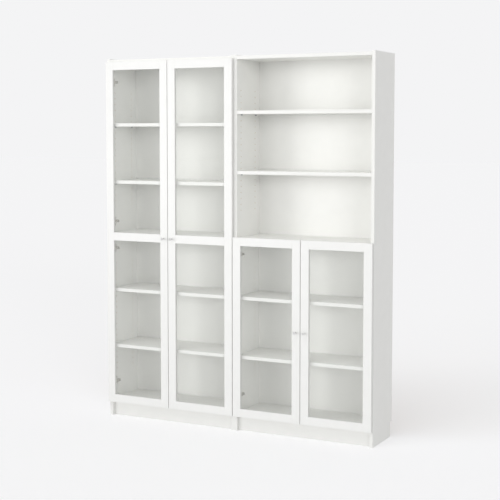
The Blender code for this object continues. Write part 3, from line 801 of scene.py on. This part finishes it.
def screw_head(diameter, height, recess):
    """A pan head with a cross recess, as a height over polar rings: a dome less a cross whose arms fade out, its depth
    a product of two clipped slopes, across and along the arm."""
    share = np.linspace(1.0, 0.0, 13)
    angle = np.linspace(0.0, 2 * math.pi, 48, endpoint=False)
    x = share[:, None] * np.cos(angle)
    y = share[:, None] * np.sin(angle)
    arm = np.minimum(np.abs(x), np.abs(y))
    reach = np.maximum(np.abs(x), np.abs(y))
    cross = np.clip((0.17 - arm) / 0.06, 0, 1) * np.clip((0.62 - reach) / 0.2, 0, 1)
    dome = height * np.sqrt(np.clip(1 - 0.55 * share ** 2, 0, 1))[:, None] + 0.0 * x
    top = np.stack([x * diameter / 2, y * diameter / 2, dome - recess * cross], axis=-1)
    base = np.stack([x[0] * diameter / 2, y[0] * diameter / 2, 0.0 * x[0] - HAIR], axis=-1)[None]
    middle = np.stack([0.0 * x[0], 0.0 * x[0], 0.0 * x[0] - HAIR], axis=-1)[None]
    points = np.concatenate([middle, base, top])
    return points.reshape(-1, 3), quads(*points.shape[:2]).tolist()


def shape_of(obj):
    """An object's mesh as a (points, faces) shape."""
    points = np.empty(len(obj.data.vertices) * 3)
    obj.data.vertices.foreach_get("co", points)
    return points.reshape(-1, 3), [list(face.vertices) for face in obj.data.polygons]


def axis_of(joint):
    """A point on the axis of one of the plain model's joints."""
    return np.array(next(j for j in frame["joints"] if j["name"] == joint)["pos_m"])


def make_cup():
    """One cup about its own centre, made along Z with its mouth up and its ears along Y."""
    inner, outer = CUP / 2 - CUP_WALL, CUP / 2 - HAIR
    bend = np.linspace(0.0, math.pi / 2, 7)
    arc = CUP_FLOOR_ROUND * np.stack([np.sin(bend) - 1, 1 - np.cos(bend)], axis=1)
    low_arc = arc + (outer, -CUP_DEPTH)
    inner_arc = arc[::-1] + (inner, CUP_WALL - CUP_DEPTH)
    rim = [(outer, 0.05 * MM), (outer + FLANGE, 0.05 * MM), (outer + FLANGE, FLANGE_THICKNESS - 0.3 * MM),
           (outer + FLANGE - 0.3 * MM, FLANGE_THICKNESS), (inner + 0.5 * MM, FLANGE_THICKNESS),
           (inner, FLANGE_THICKNESS - 0.5 * MM)]
    profile = np.concatenate([[(0.0, -CUP_DEPTH)], low_arc, rim, inner_arc, [(0.0, -CUP_DEPTH + CUP_WALL)]])
    obj = new_object("cup_master", *turned(profile, CUP_SIDES))
    ears = slot_outline(EAR_WIDTH, EAR_LENGTH, 12) + (EAR_OFFSET, 0.0)
    plate = new_object("ear_master", *rounded_plate(ears, 0.06 * MM, EAR_THICKNESS, 0.15 * MM, (0, 1, 2)))
    mouth = inner + EAR_PLAY
    carve(plate, turned([(0.0, -MM), (mouth, -MM), (mouth, MM), (0.0, MM)], CUP_SIDES))
    shapes = [shape_of(obj), shape_of(plate)]
    for end in (1, -1):
        head, faces = screw_head(**EAR_SCREW)
        shapes.append((head + (EAR_OFFSET, end * EAR_SCREW_SPACING / 2, EAR_THICKNESS), faces))
    pin_reach = math.sqrt(inner ** 2 - (inner - CUP_PIN_INSET) ** 2) + CUP_WALL / 2
    bar, faces = turned([(0.0, -pin_reach), (CUP_PIN / 2, -pin_reach), (CUP_PIN / 2, pin_reach), (0.0, pin_reach)], 16)
    place = (axis_of("tall_left_door_turn")[0] - door_place("tall_left")[2], 0.0, -CUP_PIN_DEPTH)
    shapes.append((np.stack([bar[:, 0], bar[:, 2], bar[:, 1]], axis=1) + place, faces))
    for used in (obj, plate):
        bpy.data.objects.remove(used, do_unlink=True)
    return joined(shapes)


cup_points, cup_faces = make_cup()
for door in DOORS:
    low, high, cup_x = door_place(door)
    cups = []
    for z in hinge_heights(door):
        laid = np.stack([
            cup_x + hand_of(door) * cup_points[:, 0], high[1] + cup_points[:, 2], z + cup_points[:, 1],
        ], axis=1)
        cups.append((laid, cup_faces))
    obj = new_object(door + "_hinge_cups", *joined(cups))
    dress(obj, [nickel], door + "_door", "steel", door + "_door_frame")

# %% [markdown]
# ## Hinge arms
#
# The arm is a pressed channel, clipped on a mounting plate. Its two cheeks hold the pin on which the link turns. A
# small screw above the link sets how far the door stands out, a larger one clamps the arm to the plate, and two more
# hold the plate to the side board. One arm is made about its pin, with its first axis leaving the side board, its
# second running into the cabinet and its third upwards, and then it is copied to each hinge.

# %% Arms
ARM_FOOT = -13.7 * MM
ARM_TAIL = 55 * MM
ARM_NOSE = 4.2 * MM
ARM_SLOPE = 6 * MM
ARM_WEB = 1.5 * MM
ARM_FORK = 17 * MM
CHEEK_INNER = 5 * MM
CHEEK_OUTER = 6.5 * MM
PLATE_CENTRE = 30 * MM
PLATE_WIDTH = 14 * MM
PLATE_LENGTH = 52 * MM
PLATE_THICKNESS = 3 * MM
PLATE_SCREW_SPACING = 38 * MM
ARM_PIN = 2.4 * MM
PRESSED_ROUND = 0.5 * MM
RIVET_HEAD = 2 * MM
RIVET_PROUD = 0.4 * MM
SET_SCREW = {"diameter": 5 * MM, "height": 0.9 * MM, "recess": 0.8 * MM}
SET_SCREW_PLACE, SET_SCREW_SEAT, SET_SCREW_LIFT = 7 * MM, 5.6 * MM, 0.4 * MM
CLAMP_SCREW = {"diameter": 7 * MM, "height": 1.7 * MM, "recess": 1.1 * MM}
CLAMP_SCREW_PLACE, CLAMP_SCREW_SEAT, CLAMP_SLOT_LENGTH = 40 * MM, 8.4 * MM, 12 * MM
PLATE_SCREW = {"diameter": 6.4 * MM, "height": 1.4 * MM, "recess": 0.9 * MM}


def outwards(shape, height, depth=0.0, lift=0.0):
    """A shape made along Z, laid so that its top leaves the side board: (x, y, z) becomes (height + z, x, y)."""
    points = np.asarray(shape[0])
    return np.stack([height + points[:, 2], depth + points[:, 0], lift + points[:, 1]], axis=1), shape[1]


def rivet(radius, head, half, proud):
    """A pin along Z with a low domed head on either end."""
    rim = [(radius, half), (head, half), (head, half + proud / 2), (head * 0.7, half + proud)]
    lower = [(r, -z) for r, z in rim[::-1]]
    return turned([(0.0, -half - proud), *lower, *rim, (0.0, half + proud)], 24)


def make_arm():
    """One arm on its plate, with its pin and screws."""
    turn = np.linspace(math.pi, 2 * math.pi, 17)
    outline = np.concatenate([
        [(ARM_FOOT, ARM_TAIL), (ARM_FOOT, ARM_FORK + ARM_SLOPE / 2), (-ARM_NOSE, ARM_FORK - ARM_SLOPE)],
        ARM_NOSE * np.stack([np.cos(turn), np.sin(turn)], axis=1),
        [(ARM_NOSE, ARM_TAIL - ARM_SLOPE), (ARM_NOSE - ARM_SLOPE, ARM_TAIL)],
    ])
    arm = new_object("arm_master", *rounded_plate(outline, -CHEEK_OUTER, CHEEK_OUTER, PRESSED_ROUND, (0, 1, 2)))
    plate = slot_outline(PLATE_WIDTH, PLATE_LENGTH, 12) + (PLATE_CENTRE, 0.0)
    carve(arm, rounded_plate(plate, ARM_FOOT, ARM_FOOT + PLATE_THICKNESS, PRESSED_ROUND, (1, 2, 0)), "UNION")
    fork = ((ARM_FOOT - MM, -2 * ARM_NOSE, -CHEEK_INNER), (ARM_NOSE - ARM_WEB, ARM_FORK, CHEEK_INNER))
    carve(arm, rounded_slab(*fork, PRESSED_ROUND / 2))
    radius = SET_SCREW_SEAT / 2
    hole = turned([(0.0, -2 * ARM_WEB), (radius, -2 * ARM_WEB), (radius, MM), (0.0, MM)], 32)
    seat = slot_outline(CLAMP_SCREW_SEAT, CLAMP_SLOT_LENGTH, 12)
    long_seat = rounded_plate(np.stack([-seat[:, 1], seat[:, 0]], axis=1), -MM, MM, HAIR, (0, 1, 2))
    carve(arm, joined([
        outwards(hole, ARM_NOSE, SET_SCREW_PLACE), outwards(long_seat, ARM_NOSE, CLAMP_SCREW_PLACE)]))
    carve(arm, rivet(ARM_PIN / 2, RIVET_HEAD, CHEEK_OUTER, RIVET_PROUD), "UNION")
    shapes = [
        shape_of(arm),
        outwards(screw_head(**SET_SCREW), ARM_NOSE - ARM_WEB + SET_SCREW_LIFT, SET_SCREW_PLACE),
        outwards(screw_head(**CLAMP_SCREW), ARM_NOSE - MM, CLAMP_SCREW_PLACE),
    ]
    for end in (1, -1):
        head = screw_head(**PLATE_SCREW)
        shapes.append(outwards(head, ARM_FOOT + PLATE_THICKNESS, PLATE_CENTRE, end * PLATE_SCREW_SPACING / 2))
    bpy.data.objects.remove(arm, do_unlink=True)
    return joined(shapes)


def hinge_copies(shape, door):
    """A hinge part made about the arm's pin, copied to each of a door's hinges."""
    x, y = axis_of(door + "_links_swing")[:2]
    points, faces = shape
    return joined([
        (np.stack([x + hand_of(door) * points[:, 0], y + points[:, 1], z + points[:, 2]], axis=1), faces)
        for z in hinge_heights(door)
    ])


arm_shape = make_arm()
print("an arm has", len(arm_shape[1]), "faces")
for door in DOORS:
    obj = new_object(door + "_hinge_arms", *hinge_copies(arm_shape, door))
    arms = ["%s_hinge_arm_%d" % (door, number + 1) for number in range(len(hinge_heights(door)))]
    dress(obj, [nickel], "carcass", "steel", *arms)

# %% [markdown]
# ## Hinge links
#
# The link is a bent strip with a rolled eye on either end. With the door wide open it has to climb out of the cup, pass
# over the rim and in front of the door's edge, and run back to the arm, so its bends are set in that pose and then
# turned back to the closed door.

# %% Links
LINK_WIDTH = 9 * MM
LINK_THICKNESS = 1.6 * MM
LINK_ROUND = 0.25 * MM
CUP_EYE = 4.6 * MM
ARM_EYE = 4.8 * MM
PIN_PLAY = 0.3 * MM
MOUTH_RISE = 0.8 * MM
RIM_RISE = 3.2 * MM
RIM_NEAR = 2.2 * MM
RIM_FAR = 6 * MM
NOSE_REACH = 8 * MM
OPEN_ANGLE = 154.0


def swung(points, centre, degrees):
    """Plan points turned about a centre, anticlockwise seen from above."""
    angle = math.radians(degrees)
    turn = np.array([[math.cos(angle), math.sin(angle)], [-math.sin(angle), math.cos(angle)]])
    return (np.asarray(points) - centre) @ turn + centre


def eye(centre, radius, towards):
    """The round end of a strip: an arc about a pin, open where the strip joins it."""
    heading = math.atan2(*(towards - centre)[::-1])
    opening = math.asin(LINK_THICKNESS / 2 / radius)
    angle = heading + np.linspace(opening, 2 * math.pi - opening, 25)
    return centre + radius * np.stack([np.cos(angle), np.sin(angle)], axis=1)


def offset(line, distance):
    """The inner points of a bent line moved sideways along the bisectors of its bends."""
    along = np.diff(line, axis=0)
    along /= np.linalg.norm(along, axis=1)[:, None]
    side = np.stack([-along[:, 1], along[:, 0]], axis=1)
    bisector = (side[:-1] + side[1:]) / (1 + (side[:-1] * side[1:]).sum(axis=1))[:, None]
    return line[1:-1] + bisector * distance


def make_link():
    """One link about the arm's pin, from the two pins' places in the plain model."""
    door = "tall_left"
    arm_pin, cup_pin = axis_of(door + "_links_swing")[:2], axis_of(door + "_door_turn")[:2]
    cup, back = cup_pin - arm_pin, door_place(door)[1][1] - arm_pin[1]
    arm_open = swung((0.0, 0.0), cup, OPEN_ANGLE)
    rim = back + RIM_RISE
    bends = [
        (cup[0], back + MOUTH_RISE), (cup[0] - RIM_NEAR, rim - LINK_THICKNESS / 3), (cup[0] - RIM_FAR, rim),
        (arm_open[0] + NOSE_REACH, (rim + arm_open[1] + LINK_THICKNESS) / 2),
    ]
    line = np.concatenate([[cup], swung(bends, cup, -OPEN_ANGLE), [(0.0, 0.0)]])
    outline = np.concatenate([
        eye(line[0], CUP_EYE / 2, line[1]), offset(line, -LINK_THICKNESS / 2),
        eye(line[-1], ARM_EYE / 2, line[-2]), offset(line, LINK_THICKNESS / 2)[::-1],
    ])
    link = new_object("link_master", *rounded_plate(outline, -LINK_WIDTH / 2, LINK_WIDTH / 2, LINK_ROUND, (0, 1, 2)))
    for centre, pin in ((cup, CUP_PIN), ((0.0, 0.0), ARM_PIN)):
        radius = pin / 2 + PIN_PLAY
        points, faces = turned([(0.0, -LINK_WIDTH), (radius, -LINK_WIDTH), (radius, LINK_WIDTH), (0.0, LINK_WIDTH)], 24)
        carve(link, (points + (*centre, 0.0), faces))
    shape = shape_of(link)
    bpy.data.objects.remove(link, do_unlink=True)
    return shape


link_shape = make_link()
print("a link has", len(link_shape[1]), "faces")
for door in DOORS:
    obj = new_object(door + "_hinge_links", *hinge_copies(link_shape, door))
    links = ["%s_hinge_link_%d" % (door, number + 1) for number in range(len(hinge_heights(door)))]
    dress(obj, [nickel], door + "_links", "steel", *links)

# %% [markdown]
# ## Floor, light and camera
#
# A sun lamp with a wide angle is a large softbox far away. The main one stands low in front to the left, as the
# shadows on the open backs tell, and a weaker one nearer the middle helps it to send light deep between the shelves.
# Both are kept out of mirrors, because a pane would show such a lamp as a white disc. A third lights the right side,
# and one hangs above and lights the shelves' upper faces. The sky is an even fill. On an endless floor all of them
# give one brightness, which can be worked out, so the floor is lifted to the very tone of the background and no
# horizon shows, while it keeps the shadow. A last lamp stands near, behind a grid that keeps its beam narrow and off
# the floor in front. It points a little upwards and makes the upper bays brighter than the lower ones.

# %% Light levels
# Left and up are degrees from the bookcase's front, the width is the lamp's own in degrees, and the level is what a
# white surface that faces the lamp shows, where 1 is white.
SOFTBOXES = {
    "key_softbox": {"left": 40, "up": 8, "width": 26, "level": 0.20, "mirrored": False},
    "front_softbox": {"left": 16, "up": 3, "width": 20, "level": 0.14, "mirrored": False},
    "side_softbox": {"left": -42, "up": 8, "width": 20, "level": 0.17, "mirrored": True},
    "top_softbox": {"left": 5, "up": 60, "width": 40, "level": 0.13, "mirrored": True},
}
NEAR_SOFTBOX = {"at": (-2.7, -3.2, 1.3), "left": 41, "up": -5, "size": 1.2, "spread": 44, "watts": 2.0}
FILL = 0.54
BACKDROP = "#F4F4F5"
FLOOR = "#EAEAEB"
FLOOR_REACH = 60.0


def hang(light, left, up, mirrored):
    """Hangs a lamp that shines from so many degrees to the left and up, in sight of mirrors or not."""
    lamp = bpy.data.objects.new(light.name, light)
    bpy.context.scene.collection.objects.link(lamp)
    lamp.rotation_euler = (math.radians(90 - up), 0.0, -math.radians(left))
    lamp.visible_glossy = lamp.visible_transmission = mirrored
    return lamp


for name, box in SOFTBOXES.items():
    light = bpy.data.lights.new(name, "SUN")
    light.energy = box["level"] * math.pi
    light.angle = math.radians(box["width"])
    hang(light, box["left"], box["up"], box["mirrored"])
near_light = bpy.data.lights.new("near_softbox", "AREA")
near_light.size, near_light.energy = NEAR_SOFTBOX["size"], NEAR_SOFTBOX["watts"]
near_light.spread = math.radians(NEAR_SOFTBOX["spread"])
hang(near_light, NEAR_SOFTBOX["left"], NEAR_SOFTBOX["up"], False).location = NEAR_SOFTBOX["at"]
floor_level = FILL + sum(box["level"] * math.sin(math.radians(box["up"])) for box in SOFTBOXES.values())
print("the floor gets", round(floor_level, 3))


# %% The sky
def in_sight(tree):
    """1 for rays that see or mirror a surface or look through glass, and 0 for rays that only carry light."""
    path = add(tree, "ShaderNodeLightPath")
    sight = add(tree, "ShaderNodeMath", {0: path.outputs["Is Camera Ray"], 1: path.outputs["Is Glossy Ray"]},
                operation="MAXIMUM")
    sight = add(tree, "ShaderNodeMath", {0: sight.outputs[0], 1: path.outputs["Is Transmission Ray"]},
                operation="MAXIMUM")
    first = add(tree, "ShaderNodeMath", {0: path.outputs["Diffuse Depth"], 1: 0.5}, operation="LESS_THAN")
    return add(tree, "ShaderNodeMath", {0: sight.outputs[0], 1: first.outputs[0]}, operation="MULTIPLY").outputs[0]


world = bpy.data.worlds.new("studio")
bpy.context.scene.world = world
world.use_nodes = True
tree = world.node_tree
fill = add(tree, "ShaderNodeBackground", {"Color": paint("#FFFFFF"), "Strength": FILL})
shown = add(tree, "ShaderNodeBackground", {"Color": paint(BACKDROP), "Strength": 1.0})
mixed = add(tree, "ShaderNodeMixShader", {0: in_sight(tree), 1: fill.outputs[0], 2: shown.outputs[0]})
out = next(node for node in tree.nodes if node.type == "OUTPUT_WORLD")
tree.links.new(mixed.outputs[0], out.inputs["Surface"])

# %% The floor
lift = np.clip(np.array(paint(BACKDROP)[:3]) - np.array(paint(FLOOR)[:3]) * floor_level, 0, 1)

floor_material, tree, shader = new_material("studio_floor")
fine = cloud(tree, 8.0, detail=3.0)
bump = add(tree, "ShaderNodeBump", {"Height": fine, "Strength": 0.05, "Distance": 0.3 * MM})
connect(tree, shader, Base_Color=paint(FLOOR), Roughness=0.9, Specular_IOR_Level=0.0, Normal=bump.outputs[0])
glow = add(tree, "ShaderNodeEmission", {"Color": (*lift.tolist(), 1.0), "Strength": in_sight(tree)})
both = add(tree, "ShaderNodeAddShader", {0: shader.outputs[0], 1: glow.outputs[0]})
tree.links.new(both.outputs[0], tree.nodes["Material Output"].inputs["Surface"])

floor_mesh = bpy.data.meshes.new("studio_floor")
floor_mesh.from_pydata(
    [(x * FLOOR_REACH, y * FLOOR_REACH, 0.0) for x, y in ((-1, -1), (1, -1), (1, 1), (-1, 1))], [], [(0, 1, 2, 3)])
floor_mesh.materials.append(floor_material)
floor = bpy.data.objects.new("studio_floor", floor_mesh)
bpy.context.scene.collection.objects.link(floor)
print("floor lifted by", [round(v, 3) for v in lift])

# %% [markdown]
# ### Camera
#
# The camera stands to the right of the bookcase at eye height, 27 degrees off its front. The photograph was taken with
# a shifted lens, which keeps its verticals parallel. A large shift would push the object out of the frame in every
# other view, so part of it is given up for a slight tilt.

# %% Camera
EYE = (2.9276, -5.6848, 1.6004)
YAW = math.radians(26.954)
PITCH = math.radians(4.156)
LENS = 84.85
SHIFT = -0.06

camera_data = bpy.data.cameras.new("camera")
camera_data.lens = LENS
camera_data.sensor_width = 36.0
camera_data.shift_y = SHIFT
camera_data.clip_end = 200.0
camera = bpy.data.objects.new("camera", camera_data)
bpy.context.scene.collection.objects.link(camera)
camera.location = EYE
camera.rotation_euler = (math.pi / 2 - PITCH, 0.0, YAW)
bpy.context.scene.camera = camera
bpy.context.scene.view_settings.view_transform = "Standard"
